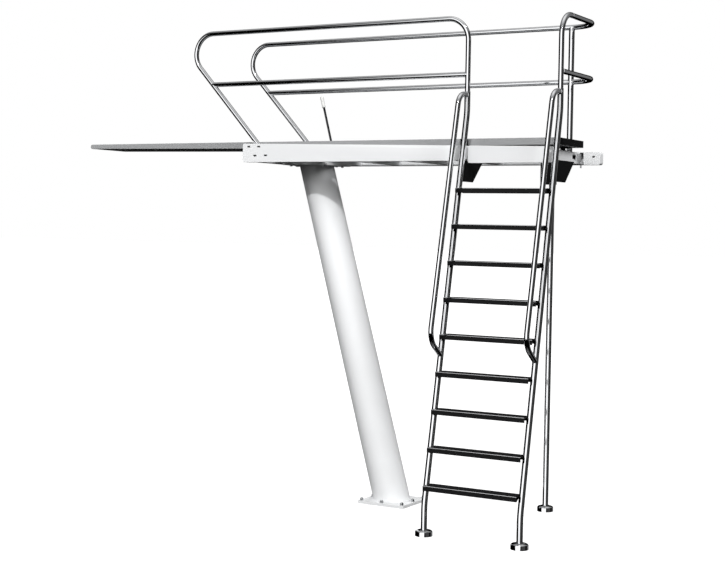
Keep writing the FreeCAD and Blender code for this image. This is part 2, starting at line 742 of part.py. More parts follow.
def build_feet():
    build_leg()
    flanges = []
    for word, (x, y) in foot_places().items():
        flanges.append(foot_flange(word, x, y))
        foot_cover(word, x, y)
    keep(group("foot_flanges", flanges), "foot_flanges")


# ---------------------------------------------------------------- fulcrum

def build_tracks():
    half = dim("track_width") / 2
    start, end = dim("track_start"), dim("track_end")
    bars = []
    for side in (-1, 1):
        y = side * dim("track_y")
        bars.append(block(f"track_{side}", (start, y - half, CROSS_TOP), (end, y + half, TRACK_TOP)))
    keep(group("fulcrum_tracks", bars), "fulcrum_tracks")


def build_carriage():
    """Two cheeks on sliding shoes, joined by tie bars, that carry the roller's axle."""
    x = dim("fulcrum_x")
    half = dim("cheek_length") / 2
    inner = dim("roller_length") / 2 + 12
    outer = inner + dim("cheek_thick")
    top = UNDERSIDE - 8
    shoe_edge = dim("track_y") + dim("track_width") / 2
    cheeks = []
    for word, side in (("near", -1), ("far", 1)):
        low, high = sorted((side * inner, side * outer))
        cheek = block(f"cheek_{word}", (x - half, low, TRACK_TOP - 4), (x + half, high, top))
        pieces = [cheek]
        low, high = sorted((side * inner, side * shoe_edge))
        for end in (-1, 1):
            edges = sorted((x + end * (half - dim("shoe_length")), x + end * half))
            pieces.append(block(f"shoe_{word}_{end}", (edges[0], low, TRACK_TOP + 0.3),
                                (edges[1], high, TRACK_TOP + dim("shoe_height"))))
        bore = rod(f"cheek_bore_{word}", cell("axle_size"), 400,
                   along(Vec(x, side * (inner - 100), AXLE_Z), Vec(x, side * (inner + 300), AXLE_Z)))
        cheeks.append(cut(f"carriage_cheek_{word}", fuse(f"cheek_blank_{word}", pieces), [bore]))
    keep(group("carriage_cheeks", cheeks), "carriage_cheeks")
    ties = []
    for end in (-1, 1):
        tie_x = x + end * dim("tie_offset")
        ties.append(rod(f"tie_{end}", cell("tie_size"), 2 * inner,
                        along(Vec(tie_x, -inner, AXLE_Z - 8), Vec(tie_x, inner, AXLE_Z - 8))))
    keep(group("carriage_tie_bars", ties), "carriage_tie_bars")


def build_roller():
    """Hollow axle fixed in the cheeks, a steel roller turning on it and its rubber sleeve."""
    x = dim("fulcrum_x")
    reach = dim("roller_length") / 2 + 12 + dim("cheek_thick")
    axis = (Vec(x, -reach, AXLE_Z), Vec(x, reach, AXLE_Z))
    axle = rod("axle_outer", cell("axle_size"), 2 * reach, along(*axis))
    bore = rod("axle_bore", f"{cell('shaft_size')} + 2 * {cell('running_gap')}", 2 * reach, along(*axis))
    keep(cut("fulcrum_axle", axle, [bore]), "fulcrum_axle")

    half = dim("roller_length") / 2
    span = (Vec(x, -half, AXLE_Z), Vec(x, half, AXLE_Z))
    core_size = f"{cell('roller_size')} - 2 * {cell('sleeve_thick')}"
    core = rod("core_outer", core_size, 2 * half, along(*span))
    core_bore = rod("core_bore", f"{cell('axle_size')} + 2 * {cell('running_gap')}", 2 * half, along(*span))
    keep(cut("fulcrum_roller", core, [core_bore]), "fulcrum_roller")
    sleeve = rod("sleeve_outer", cell("roller_size"), 2 * half - 10,
                 along(Vec(x, -half + 5, AXLE_Z), Vec(x, half - 5, AXLE_Z)))
    sleeve_bore = rod("sleeve_bore", core_size, 2 * half, along(*span))
    keep(cut("roller_sleeve", sleeve, [sleeve_bore]), "roller_sleeve")


def build_clamp():
    """Clamp shaft through the hollow axle, with a cam over each track and a hand lever."""
    x = dim("fulcrum_x")
    cam_inner = dim("roller_length") / 2 + 12 + dim("cheek_thick") + 14
    cam_outer = cam_inner + dim("cam_width")
    end_y = dim("lever_y") + 14
    shaft = rod("clamp_bar", cell("shaft_size"), end_y + cam_outer,
                along(Vec(x, -cam_outer, AXLE_Z), Vec(x, end_y, AXLE_Z)))
    throw = dim("cam_throw")
    cam_radius = AXLE_Z - TRACK_TOP - dim("rest_gap") - throw
    pieces = [shaft]
    for word, side in (("near", -1), ("far", 1)):
        start = Vec(x, side * cam_inner, AXLE_Z - throw)
        end = Vec(x, side * cam_outer, AXLE_Z - throw)
        pieces.append(rod(f"cam_{word}", str(2 * cam_radius), cam_outer - cam_inner, along(start, end)))
    keep(fuse("clamp_shaft", pieces), "clamp_shaft")

    lean = math.radians(dim("lever_lean"))
    direction = Vec(-math.sin(lean), 0, math.cos(lean))
    pivot = Vec(x, dim("lever_y"), AXLE_Z)
    tip = pivot + direction * dim("lever_length")
    grip_start = tip - direction * dim("grip_length")
    hub = rod("lever_hub", "40", 24, along(pivot - Vec(0, 12, 0), pivot + Vec(0, 12, 0)))
    arm = rod("lever_arm", cell("lever_size"), (tip - pivot).Length - 6, along(pivot, tip))
    bore = rod("lever_bore", cell("shaft_size"), 60, along(pivot - Vec(0, 30, 0), pivot + Vec(0, 30, 0)))
    keep(cut("clamp_lever", fuse("lever_blank", [hub, arm]), [bore]), "clamp_lever")
    grip = rod("grip_outer", cell("grip_size"), dim("grip_length"), along(grip_start, tip))
    socket = rod("grip_socket", cell("lever_size"), dim("grip_length") - 6, along(grip_start, tip))
    keep(cut("lever_grip", grip, [socket]), "lever_grip")


# ---------------------------------------------------------------- board and hinge

def build_board():
    """Tapered ribbed board: a padded side profile with channels pocketed from below."""
    top, depth, tip_depth = dim("board_top"), dim("board_depth"), dim("tip_depth")
    tip, rear = dim("tip_x"), dim("tip_x") + dim("board_length")
    width, rib, end = (dim(name) for name in ("board_width", "board_rib", "board_end"))
    body = doc.addObject("PartDesign::Body", "springboard")
    side = new_sketch(body, "board_side", "XZ_Plane")
    nose = 10
    corners = [(tip, top - nose), (tip + nose, top), (rear, top), (rear, top - depth),
               (dim("taper_x"), top - depth), (tip + nose, top - tip_depth), (tip, top - tip_depth + nose)]
    outline(side, corners)
    pad(body, side, cell("board_width"), both=True)
    count = int(dim("rib_count"))
    bay = (width - rib * count) / (count - 1)
    bays = new_sketch(body, "board_bays", "XY_Plane")
    for number in range(count - 1):
        low = -width / 2 + rib + number * (bay + rib)
        outline(bays, [(tip + end, low), (rear - end, low), (rear - end, low + bay), (tip + end, low + bay)])
    bays.AttachmentOffset = at(0, 0, top - depth)
    pocket(body, bays, f"{cell('board_depth')} - {cell('board_skin')}", reverse=True)
    keep(body, "springboard")
    margin = dim("grip_margin")
    low = (tip + 2 * margin, -width / 2 + margin, top)
    high = (rear - margin, width / 2 - margin, top + dim("grip_thick"))
    keep(block("board_grip_surface", low, high), "board_grip_surface", at(*low))
    half, thick = width / 2, 8
    low = (rear, -half, top - depth)
    keep(block("board_end_cap", low, (rear + thick, half, top)), "board_end_cap", at(*low))


def build_hinge():
    """Rear hinge: lugs on the hinge cross member, knuckles under the board and two pins."""
    x = dim("hinge_x")
    half = dim("knuckle_width") / 2
    lug = dim("lug_thick")
    lugs, knuckles, pins = [], [], []
    for word, y in (("near", -dim("hinge_y")), ("far", dim("hinge_y"))):
        reach = half + 0.5 + lug
        base = block(f"hinge_base_{word}", (x - 45, y - reach, CROSS_TOP), (x + 45, y + reach, CROSS_TOP + 8))
        pieces = [base]
        for number, offset in enumerate((-reach, half + 0.5)):
            pieces.append(block(f"lug_{word}_{number}", (x - 16, y + offset, CROSS_TOP + 8),
                                (x + 16, y + offset + lug, HINGE_Z)))
            pieces.append(rod(f"lug_eye_{word}_{number}", "32", lug,
                              along(Vec(x, y + offset, HINGE_Z), Vec(x, y + offset + lug, HINGE_Z))))
        line = (Vec(x, y - 60, HINGE_Z), Vec(x, y + 60, HINGE_Z))
        bore = rod(f"lug_bore_{word}", cell("hinge_pin"), 120, along(*line))
        lugs.append(cut(f"hinge_lug_{word}", fuse(f"lug_blank_{word}", pieces), [bore]))

        strap = block(f"strap_{word}", (x - 50, y - half, UNDERSIDE - 8), (x + 50, y + half, UNDERSIDE))
        barrel = rod(f"barrel_{word}", cell("knuckle_size"), 2 * half,
                     along(Vec(x, y - half, HINGE_Z), Vec(x, y + half, HINGE_Z)))
        neck = block(f"neck_{word}", (x - 14, y - half, HINGE_Z), (x + 14, y + half, UNDERSIDE - 4))
        eye_size = f"{cell('hinge_pin')} + 2 * {cell('running_gap')}"
        eye = rod(f"barrel_bore_{word}", eye_size, 120, along(*line))
        knuckles.append(cut(f"knuckle_{word}", fuse(f"knuckle_blank_{word}", [strap, barrel, neck]), [eye]))

        span = (Vec(x, y - reach - 4, HINGE_Z), Vec(x, y + reach + 4, HINGE_Z))
        pins.append(rod(f"hinge_pin_{word}", cell("hinge_pin"), 2 * reach + 8, along(*span)))
    keep(group("hinge_lugs", lugs), "hinge_lugs")
    keep(group("board_knuckles", knuckles), "board_knuckles")
    keep(group("hinge_pins", pins), "hinge_pins")


def build_side_guides():
    """Rubber-faced guides that keep the board from swinging sideways."""
    x = CROSS_PLACES["middle_cross_members"][-1]
    inner = dim("board_width") / 2 + 3
    guides = []
    for side in (-1, 1):
        low, high = sorted((side * inner, side * (inner + 22)))
        guides.append(block(f"guide_{side}", (x - 30, low, CROSS_TOP), (x + 30, high, dim("board_top") - 4)))
    keep(group("board_side_guides", guides), "board_side_guides")


# ---------------------------------------------------------------- build and write

def check_document():
    """Stop on a failed object, a null or invalid shape, or a sub-part with no solid."""
    doc.recompute()
    for item in doc.Objects:
        if "Invalid" in item.State or "Error" in item.State:
            raise ValueError(f"{item.Label} failed: {item.State}")
    for item in PARTS:
        if item.Shape.isNull() or not item.Shape.isValid() or not item.Shape.Solids:
            raise ValueError(f"{item.Label} has no valid shape")
        if min(solid.Volume for solid in item.Shape.Solids) <= 0:
            raise ValueError(f"{item.Label} has a solid with no volume")


def write_parts():
    for item in PARTS:
        item.Shape.exportStep(f"parts/{item.Label}.step")
        box = item.Shape.BoundBox
        print(f"{item.Label:26s} solids {len(item.Shape.Solids):2d} "
              f"x {box.XMin:8.1f} {box.XMax:8.1f} y {box.YMin:8.1f} {box.YMax:8.1f} "
              f"z {box.ZMin:8.1f} {box.ZMax:8.1f}")
    print(len(PARTS), "sub-parts")


def main():
    build_base()
    build_column()
    build_beams()
    build_cross_members()
    build_guard_rails()
    build_rail_feet()
    build_stringers()
    build_loops()
    build_treads()
    build_ladder_brackets()
    build_feet()
    build_tracks()
    build_carriage()
    build_roller()
    build_clamp()
    build_board()
    build_hinge()
    build_side_guides()
    check_document()
    write_parts()


main()
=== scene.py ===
import json
import math

import bmesh
import bpy
from mathutils import Matrix, Vector


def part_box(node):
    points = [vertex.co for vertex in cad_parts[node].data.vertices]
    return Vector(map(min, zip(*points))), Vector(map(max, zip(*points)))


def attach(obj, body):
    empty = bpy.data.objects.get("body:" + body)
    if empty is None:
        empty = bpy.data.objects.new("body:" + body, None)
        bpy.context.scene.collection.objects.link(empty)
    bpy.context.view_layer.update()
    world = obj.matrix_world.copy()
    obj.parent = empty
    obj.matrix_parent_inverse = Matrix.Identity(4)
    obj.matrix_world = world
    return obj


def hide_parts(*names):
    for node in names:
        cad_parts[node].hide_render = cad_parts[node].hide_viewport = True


bl_info = {
    "name": "Springboard stand",
    "version": (1, 0, 0),
    "blender": (4, 5, 0),
    "location": "View3D > Sidebar > Springboard",
    "description": "Finishes and fine detail for a three-metre springboard stand",
    "category": "Object",
}

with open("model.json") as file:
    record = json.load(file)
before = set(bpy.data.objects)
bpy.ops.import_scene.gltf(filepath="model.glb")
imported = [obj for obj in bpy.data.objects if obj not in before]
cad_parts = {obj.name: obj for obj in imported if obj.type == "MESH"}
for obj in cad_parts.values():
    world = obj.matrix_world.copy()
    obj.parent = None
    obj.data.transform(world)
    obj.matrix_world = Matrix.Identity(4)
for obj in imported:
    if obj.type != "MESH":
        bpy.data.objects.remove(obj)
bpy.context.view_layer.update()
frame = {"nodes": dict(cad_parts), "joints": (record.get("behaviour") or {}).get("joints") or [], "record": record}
NODES = frame["nodes"]
JOINTS = {joint["name"]: joint for joint in frame["joints"]}
BODY_OF = {node: body for body, nodes in frame["record"]["behaviour"]["bodies"].items() for node in nodes}
SLOT_OF = {part["node"]: part["material_slot"] for part in frame["record"]["subparts"]}
TREADS = sorted(name for name in NODES if name.startswith("tread_") and name[6:].isdigit())
COVERS = ("left", "right", "leg")
SOFTENED = ("base_plate", "column_head_plate", "near_beam", "near_entry_beam", "far_beam", "rear_end_plate",
            "rear_corner_bracket", "ladder_gussets", "ladder_side_plate", "carriage_cheeks",
            "fulcrum_tracks", "springboard", "board_end_cap", "board_side_guides")
RAIL_RADIUS = (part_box("near_mid_rail")[1].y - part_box("near_mid_rail")[0].y) / 2
STRINGER_RADIUS = (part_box("far_post")[1].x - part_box("far_post")[0].x) / 2
MM = 0.001


# ---------------------------------------------------------------- settings

def colour_property(name, description, colour):
    return bpy.props.StringProperty(name=name, description=description, default=colour)


def size_property(name, description, default):
    return bpy.props.FloatProperty(name=name, description=description, default=default, unit="LENGTH")


class FinishSettings(bpy.types.PropertyGroup):
    """Colours of the stand's finishes, as sRGB hex values."""
    stainless: colour_property("Stainless", "Polished stainless steel tube", "EDEEF0")
    powder_coat: colour_property("Powder coat", "White polyester powder coat on the steel frame", "D2D3D4")
    black_paint: colour_property("Black paint", "Paint on gussets and brackets", "060607")
    tread: colour_property("Tread", "Black anodised tread tray", "070708")
    rubber: colour_property("Rubber", "Black rubber mats, sleeve and bumper", "0B0B0C")
    board: colour_property("Board", "Grey coated aluminium board", "8A8B8C")
    grit: colour_property("Grit", "Sand coat on the board's top", "77797B")
    zinc: colour_property("Zinc", "Zinc plate on nuts, bolts and bars", "B9BBBD")
    dark_steel: colour_property("Dark steel", "Oiled steel lever, cams and tracks", "3A3A3C")
    galvanised: colour_property("Galvanised", "Dull galvanised steel bracket", "C4C5C6")
    grip: colour_property("Grip", "White moulded hand grip", "C9C9C7")
    floor: colour_property("Floor", "Pale studio floor", "F4F4F4")


class DetailSettings(bpy.types.PropertyGroup):
    """Sizes of the small details added to the frame."""
    edge: size_property("Edge radius", "Edge radius of plates, beams and trays", 1.5 * MM)
    bead: size_property("Weld bead", "Radius of the weld beads round tube joints", 2.5 * MM)
    rib_pitch: size_property("Rib pitch", "Distance between ribs on a tread mat", 9.5 * MM)
    rib_width: size_property("Rib width", "Width of one rib on a tread mat", 5.0 * MM)
    nosing: size_property("Nosing", "Depth of the rounded strip on a tread's front edge", 10 * MM)
    rim: size_property("Cover rim", "Radius of a flange cover's rounded shoulder", 9 * MM)
    grip_ring: size_property("Grip ring", "Length of one finger ring on the hand grip", 13 * MM)


# ---------------------------------------------------------------- materials

def linear(hex_colour):
    """An sRGB hex colour as linear RGBA."""
    values = [int(hex_colour[i:i + 2], 16) / 255 for i in (0, 2, 4)]
    return (*[v / 12.92 if v <= 0.04045 else ((v + 0.055) / 1.055) ** 2.4 for v in values], 1)


def shade(hex_colour, factor):
    """The same colour, lighter or darker by a factor, linear."""
    return (*[min(1, v * factor) for v in linear(hex_colour)[:3]], 1)


def add_node(tree, kind, settings=None, inputs=None):
    """Add a node, set its properties, and fill or link its inputs."""
    node = tree.nodes.new(kind)
    for name, value in (settings or {}).items():
        setattr(node, name, value)
    for name, value in (inputs or {}).items():
        if isinstance(value, bpy.types.NodeSocket):
            tree.links.new(value, node.inputs[name])
        else:
            node.inputs[name].default_value = value
    return node


def new_material(name):
    """The material of a slot, emptied to be built afresh, and its Object coordinates."""
    material = bpy.data.materials.get(name) or bpy.data.materials.new(name)
    material.use_nodes = True
    tree = material.node_tree
    tree.nodes.clear()
    place = add_node(tree, "ShaderNodeTexCoord").outputs["Object"]
    return material, tree, place


def finish_surface(tree, shader):
    add_node(tree, "ShaderNodeOutputMaterial", inputs={"Surface": shader.outputs["BSDF"]})


def spread(tree, factor, low, high):
    """Map a 0 to 1 texture value onto a range."""
    return add_node(tree, "ShaderNodeMapRange",
                    inputs={"Value": factor, "To Min": low, "To Max": high}).outputs["Result"]


def polished_stainless(finishes):
    """Drawn 316 tube, belt polished: a mirror with faint smears and very fine polishing lines."""
    material, tree, place = new_material("polished_stainless")
    smears = add_node(tree, "ShaderNodeTexNoise", inputs={"Vector": place, "Scale": 9, "Detail": 5})
    lines = add_node(tree, "ShaderNodeTexNoise", inputs={"Vector": place, "Scale": 900, "Detail": 2})
    bump = add_node(tree, "ShaderNodeBump", inputs={
        "Height": lines.outputs["Fac"], "Strength": 0.03, "Distance": 0.2 * MM})
    shader = add_node(tree, "ShaderNodeBsdfPrincipled", inputs={
        "Base Color": linear(finishes.stainless), "Metallic": 1.0,
        "Roughness": spread(tree, smears.outputs["Fac"], 0.03, 0.10), "Normal": bump.outputs["Normal"]})
    finish_surface(tree, shader)
    return material


def white_powder_coat(finishes):
    """Polyester powder baked on steel: satin white with a shallow orange peel and slight soiling."""
    material, tree, place = new_material("white_powder_coat")
    soil = add_node(tree, "ShaderNodeTexNoise", inputs={"Vector": place, "Scale": 3.5, "Detail": 6})
    tone = add_node(tree, "ShaderNodeMix", {"data_type": "RGBA"}, {
        "Factor": spread(tree, soil.outputs["Fac"], 0.0, 0.5),
        "A": linear(finishes.powder_coat), "B": shade(finishes.powder_coat, 0.94)})
    # peel about 3 mm across, drawn coarser than the real 1 mm so that it can show
    peel = add_node(tree, "ShaderNodeTexNoise", inputs={"Vector": place, "Scale": 330, "Detail": 1})
    bump = add_node(tree, "ShaderNodeBump", inputs={
        "Height": peel.outputs["Fac"], "Strength": 0.12, "Distance": 0.3 * MM})
    shader = add_node(tree, "ShaderNodeBsdfPrincipled", inputs={
        "Base Color": tone.outputs["Result"], "IOR": 1.5,
        "Roughness": spread(tree, soil.outputs["Fac"], 0.38, 0.55), "Normal": bump.outputs["Normal"]})
    finish_surface(tree, shader)
    return material


def grained_coat(name, colour, grain_mm, roughness, depth, contrast=0.8, sheen=0.5):
    """Paint, rubber or sand coat: one colour broken up by grain of a real size."""
    material, tree, place = new_material(name)
    grain = add_node(tree, "ShaderNodeTexVoronoi", inputs={"Vector": place, "Scale": 1 / (grain_mm * MM)})
    cloud = add_node(tree, "ShaderNodeTexNoise", inputs={"Vector": place, "Scale": 6, "Detail": 6})
    tone = add_node(tree, "ShaderNodeMix", {"data_type": "RGBA"}, {
        "Factor": cloud.outputs["Fac"], "A": shade(colour, contrast), "B": shade(colour, 2 - contrast)})
    bump = add_node(tree, "ShaderNodeBump", inputs={
        "Height": grain.outputs["Distance"], "Strength": 0.35, "Distance": depth * MM})
    shader = add_node(tree, "ShaderNodeBsdfPrincipled", inputs={
        "Base Color": tone.outputs["Result"], "Specular IOR Level": sheen,
        "Roughness": spread(tree, cloud.outputs["Fac"], roughness - 0.08, roughness + 0.08),
        "Normal": bump.outputs["Normal"]})
    finish_surface(tree, shader)
    return material


def plated_steel(name, colour, roughness, spangle_mm, metallic=1.0):
    """Zinc plate, oiled or galvanised steel: metal whose tone and gloss change from patch to patch."""
    material, tree, place = new_material(name)
    spangle = add_node(tree, "ShaderNodeTexVoronoi",
                       inputs={"Vector": place, "Scale": 1 / (spangle_mm * MM)})
    tone = add_node(tree, "ShaderNodeMix", {"data_type": "RGBA"}, {
        "Factor": spangle.outputs["Distance"], "A": shade(colour, 0.8), "B": shade(colour, 1.1)})
    shader = add_node(tree, "ShaderNodeBsdfPrincipled", inputs={
        "Base Color": tone.outputs["Result"], "Metallic": metallic,
        "Roughness": spread(tree, spangle.outputs["Distance"], roughness - 0.1, roughness + 0.1)})
    finish_surface(tree, shader)
    return material


def board_coat(finishes):
    """Epoxy coated aluminium extrusion: even grey with faint lengthwise drawing lines and scuffs."""
    material, tree, place = new_material("grey_aluminium")
    stretched = add_node(tree, "ShaderNodeMapping", inputs={"Vector": place, "Scale": (0.6, 30, 30)})
    lines = add_node(tree, "ShaderNodeTexNoise",
                     inputs={"Vector": stretched.outputs["Vector"], "Scale": 8, "Detail": 6})
    tone = add_node(tree, "ShaderNodeMix", {"data_type": "RGBA"}, {
        "Factor": lines.outputs["Fac"], "A": shade(finishes.board, 0.86), "B": shade(finishes.board, 1.12)})
    bump = add_node(tree, "ShaderNodeBump", inputs={
        "Height": lines.outputs["Fac"], "Strength": 0.15, "Distance": 0.4 * MM})
    shader = add_node(tree, "ShaderNodeBsdfPrincipled", inputs={
        "Base Color": tone.outputs["Result"], "Metallic": 0.0, "IOR": 1.5,
        "Roughness": spread(tree, lines.outputs["Fac"], 0.45, 0.65), "Normal": bump.outputs["Normal"]})
    finish_surface(tree, shader)
    return material


def build_finishes(finishes):
    """Every material of the stand, by the record's slot name."""
    return {
        "polished_stainless": polished_stainless(finishes),
        "white_powder_coat": white_powder_coat(finishes),
        "grey_aluminium": board_coat(finishes),
        "grey_grip": grained_coat("grey_grip", finishes.grit, 2.5, 0.85, 1.2),
        "black_paint": grained_coat("black_paint", finishes.black_paint, 3.0, 0.6, 0.2, sheen=0.2),
        "black_tread": grained_coat("black_tread", finishes.tread, 2.0, 0.5, 0.15, sheen=0.2),
        "black_rubber": grained_coat("black_rubber", finishes.rubber, 2.0, 0.8, 0.4, sheen=0.2),
        "white_plastic": grained_coat("white_plastic", finishes.grip, 1.5, 0.35, 0.1, contrast=0.96),
        "zinc_steel": plated_steel("zinc_steel", finishes.zinc, 0.35, 4.0),
        "dark_steel": plated_steel("dark_steel", finishes.dark_steel, 0.4, 6.0),
        # the chalky zinc patina hides half of the metal's sheen
        "galvanised_grey": plated_steel("galvanised_grey", finishes.galvanised, 0.5, 12.0, 0.5),
    }


def finish(slot):
    """A finished material by its slot's name."""
    return bpy.data.materials[slot]


# ---------------------------------------------------------------- pieces

def make_piece(name, shape, body, slot, replaced=()):
    """Turn a bmesh into a finished piece that rides on a body."""
    bmesh.ops.recalc_face_normals(shape, faces=shape.faces)
    mesh = bpy.data.meshes.new(name)
    shape.to_mesh(mesh)
    shape.free()
    piece = bpy.data.objects.new(name, mesh)
    bpy.context.scene.collection.objects.link(piece)
    mesh.materials.append(finish(slot))
    mesh.shade_smooth()
    mesh.set_sharp_from_angle(angle=math.radians(35))
    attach(piece, body)
    if replaced:
        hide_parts(*replaced)
    return piece


def turn_to(centre, axis):
    """A matrix that stands a shape's Z along an axis at a centre."""
    return Matrix.Translation(centre) @ Vector(axis).to_track_quat("Z", "Y").to_matrix().to_4x4()


def spun_profile(shape, points, place, steps=48, round_radius=0.0, round_points=()):
    """Spin a closed outline of (radius, height) points about Z, some of its corners rounded."""
    corners = [shape.verts.new((radius, 0, height)) for radius, height in points]
    for start, end in zip(corners, corners[1:] + corners[:1]):
        shape.edges.new((start, end))
    outline = corners
    if round_points:
        made = bmesh.ops.bevel(shape, geom=[corners[i] for i in round_points], offset=round_radius,
                               segments=5, profile=0.5, affect="VERTICES", material=-1)
        outline = list({*[v for v in corners if v.is_valid], *made["verts"]})
    edges = list({edge for vert in outline for edge in vert.link_edges})
    made = bmesh.ops.spin(shape, geom=outline + edges, cent=(0, 0, 0), axis=(0, 0, 1), dvec=(0, 0, 0),
                          angle=2 * math.pi, steps=steps, use_merge=True)
    turned = {v for v in made["geom_last"] if isinstance(v, bmesh.types.BMVert)}
    island = set(outline) | turned
    frontier = list(island)
    while frontier:
        for edge in frontier.pop().link_edges:
            for vert in edge.verts:
                if vert not in island:
                    island.add(vert)
                    frontier.append(vert)
    bmesh.ops.transform(shape, matrix=place, verts=list(island))


def bead(shape, centre, axis, radius, size):
    """A weld bead: a small ring round a tube."""
    points = [(radius + size * math.cos(math.tau * i / 8), size * math.sin(math.tau * i / 8))
              for i in range(8)]
    spun_profile(shape, points, turn_to(centre, axis), steps=28)


def bar(shape, low, high, round_edges=None, round_size=0.0):
    """A bar between two corners, its long X edges on the chosen side rounded, if any."""
    low, high = Vector(low), Vector(high)
    place = Matrix.Translation((low + high) / 2) @ Matrix.Diagonal((*(high - low), 1))
    made = bmesh.ops.create_cube(shape, size=1, matrix=place)
    if round_edges is None:
        return
    edges = {edge for vert in made["verts"] for edge in vert.link_edges}
    chosen = []
    for edge in edges:
        a, b = (vert.co for vert in edge.verts)
        along_x = abs(a.x - b.x) > abs(a.y - b.y) + abs(a.z - b.z)
        if along_x and round_edges(a):
            chosen.append(edge)
    bmesh.ops.bevel(shape, geom=chosen, offset=round_size, segments=3, profile=0.5, affect="EDGES",
                    material=-1)


# ---------------------------------------------------------------- operators

class SPRINGBOARD_OT_finishes(bpy.types.Operator):
    """Make every finish and put it on the frame's own parts."""
    bl_idname = "springboard.finishes"
    bl_label = "Finishes"

    def execute(self, context):
        made = build_finishes(context.scene.springboard_finishes)
        for name, node in NODES.items():
            for place in node.material_slots:
                place.material = made[SLOT_OF[name]]
        return {"FINISHED"}


class SPRINGBOARD_OT_softened_plates(bpy.types.Operator):
    """Plates, beams, treads and the board with the small edge radii of folded and coated metal."""
    bl_idname = "springboard.softened_plates"
    bl_label = "Softened plates"

    def execute(self, context):
        width = context.scene.springboard_details.edge
        for name in (*SOFTENED, *TREADS):
            shape = bmesh.new()
            shape.from_mesh(NODES[name].data)
            bmesh.ops.remove_doubles(shape, verts=shape.verts, dist=0.01 * MM)
            bmesh.ops.dissolve_limit(shape, angle_limit=math.radians(1), verts=shape.verts,
                                     edges=shape.edges)
            piece = make_piece(f"{name}_softened", shape, BODY_OF[name], SLOT_OF[name], replaced=(name,))
            soften = piece.modifiers.new("Edges", "BEVEL")
            soften.width = width
            soften.segments = 2
            soften.limit_method = "ANGLE"
            soften.angle_limit = math.radians(40)
            soften.harden_normals = True
        return {"FINISHED"}


class SPRINGBOARD_OT_weld_beads(bpy.types.Operator):
    """Weld beads where the rails, uprights, loops and post meet."""
    bl_idname = "springboard.weld_beads"
    bl_label = "Weld beads"

    def execute(self, context):
        size = context.scene.springboard_details.bead
        shape = bmesh.new()
        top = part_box("rear_top_rail")
        top_z = (top[0].z + top[1].z) / 2
        for side in ("left", "right"):
            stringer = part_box(f"ladder_stringer_{side}")
            x = (stringer[0].x + stringer[1].x) / 2
            y = stringer[1].y - STRINGER_RADIUS
            bead(shape, (x, y, stringer[1].z), (0, 0, 1), RAIL_RADIUS + size / 2, size)
            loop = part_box(f"handrail_loop_{side}")
            height = loop[1].z - RAIL_RADIUS
            bead(shape, (x, y - STRINGER_RADIUS, height), (0, 1, 0), RAIL_RADIUS, size)
        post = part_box("far_post")
        centre = (post[0] + post[1]) / 2
        bead(shape, (centre.x, centre.y, top_z - RAIL_RADIUS - size), (0, 0, 1), STRINGER_RADIUS, size)
        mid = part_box("near_mid_rail")
        mid_y, mid_z = (mid[0].y + mid[1].y) / 2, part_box("far_mid_rail")[1].z - RAIL_RADIUS
        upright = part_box("near_guard_rail")[1].x - 2 * RAIL_RADIUS
        bead(shape, (upright, mid_y, mid_z), (1, 0, 0), RAIL_RADIUS, size)
        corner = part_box("rear_upright")
        rear_x = (corner[0].x + corner[1].x) / 2
        bead(shape, (rear_x, mid_y + RAIL_RADIUS, mid_z), (0, 1, 0), RAIL_RADIUS, size)
        bent_rail_bead = 0.6 * size
        bead(shape, (rear_x, top[0].y, top_z), (0, 1, 0), RAIL_RADIUS, bent_rail_bead)
        for side in (-1, 1):
            bead(shape, (centre.x + side * STRINGER_RADIUS, centre.y, mid_z), (1, 0, 0), RAIL_RADIUS, size)
        make_piece("weld_beads", shape, "frame", "polished_stainless")
        return {"FINISHED"}


class SPRINGBOARD_OT_tread_mats(bpy.types.Operator):
    """Ribbed rubber mats and rounded nosings on the treads."""
    bl_idname = "springboard.tread_mats"
    bl_label = "Tread mats and nosings"

    def execute(self, context):
        details = context.scene.springboard_details
        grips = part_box("tread_grips")
        sheet, gap, inset = 1 * MM, 1 * MM, 3 * MM
        mats = bmesh.new()
        nosings = bmesh.new()
        for name in TREADS:
            low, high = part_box(name)
            base = high.z
            left, right = grips[0].x, grips[1].x
            front = low.y + details.nosing + gap
            back = high.y - inset
            bar(mats, (left, front, base), (right, back, base + sheet))
            count = int((back - front) / details.rib_pitch)
            for number in range(count):
                start = front + details.rib_pitch * (number + 0.25)
                bar(mats, (left, start, base + sheet), (right, start + details.rib_width, base + 2 * sheet),
                    lambda a, z=base: a.z > z + 1.5 * sheet, 0.6 * MM)
            bar(nosings, (low.x + 2 * MM, low.y - 1.5 * MM, base - 4 * MM),
                (high.x - 2 * MM, low.y + details.nosing, base + 1.5 * MM),
                lambda a, y=low.y: a.y < y, 2.2 * MM)
        make_piece("tread_mats", mats, "frame", "black_rubber", replaced=("tread_grips",))
        make_piece("tread_nosings", nosings, "frame", "polished_stainless")
        return {"FINISHED"}


